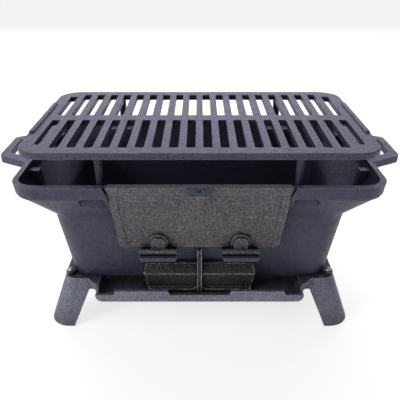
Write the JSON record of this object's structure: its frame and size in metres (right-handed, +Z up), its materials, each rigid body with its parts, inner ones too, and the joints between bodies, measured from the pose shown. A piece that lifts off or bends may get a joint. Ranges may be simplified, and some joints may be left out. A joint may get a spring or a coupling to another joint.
{
  "type": "hibachi grill",
  "caption": "Cast-iron tabletop charcoal hibachi: slotted cooking grate on legs, flared fire bowl with loop handles, flip-down coal door and sliding draft door on a footed stand.",
  "frame": {"origin": "on the ground, under the centre of the whole grill's box", "axes": "+Z up, +X along the grill's length towards its right handle, the coal door faces -Y"},
  "size_m": [0.484, 0.274, 0.2412],
  "materials": {
    "bowl_iron": "matt pre-seasoned, sand-cast grain",
    "stand_iron": "matt pre-seasoned, worn bright edges",
    "grate_iron": "satin pre-seasoned",
    "coal_grate_iron": "matt, dusted with ash",
    "door_iron": "speckled satin, worn bright edges",
    "draft_door_iron": "rough, bright worn ridges",
    "screw_steel": "zinc plated",
    "washer_steel": "dull zinc plated",
    "nut_steel": "bright plated"
  },
  "bodies": {
    "body": {"fire_bowl": "bowl_iron", "base_stand": "stand_iron", "stand_bolt_1": "screw_steel", "stand_washer_1": "washer_steel", "stand_nut_1": "nut_steel", "stand_bolt_2": "screw_steel", "stand_washer_2": "washer_steel", "stand_nut_2": "nut_steel", "stand_bolt_3": "screw_steel", "stand_washer_3": "washer_steel", "stand_nut_3": "nut_steel", "stand_bolt_4": "screw_steel", "stand_washer_4": "washer_steel", "stand_nut_4": "nut_steel"},
    "cooking_grate": {"cooking_grate": "grate_iron"},
    "coal_grate": {"coal_grate": "coal_grate_iron"},
    "coal_door": {"coal_door": "door_iron"},
    "draft_door": {"draft_door": "draft_door_iron"}
  },
  "joints": [
    {"name": "coal_door_hinge", "type": "hinge", "parent": "body", "child": "coal_door", "pos_m": [0, -0.098, 0.1108], "axis": [1, 0, 0], "range_deg": [0, 72]},
    {"name": "draft_door_slide", "type": "slide", "parent": "body", "child": "draft_door", "axis": [1, 0, 0], "range_m": [-0.018, 0.018]},
    {"name": "cooking_grate_lift", "type": "slide", "parent": "body", "child": "cooking_grate", "axis": [0, 0, 1], "range_m": [0, 0.06]},
    {"name": "coal_grate_lift", "type": "slide", "parent": "body", "child": "coal_grate", "axis": [0, 0, 1], "range_m": [0, 0.14]}
  ]
}
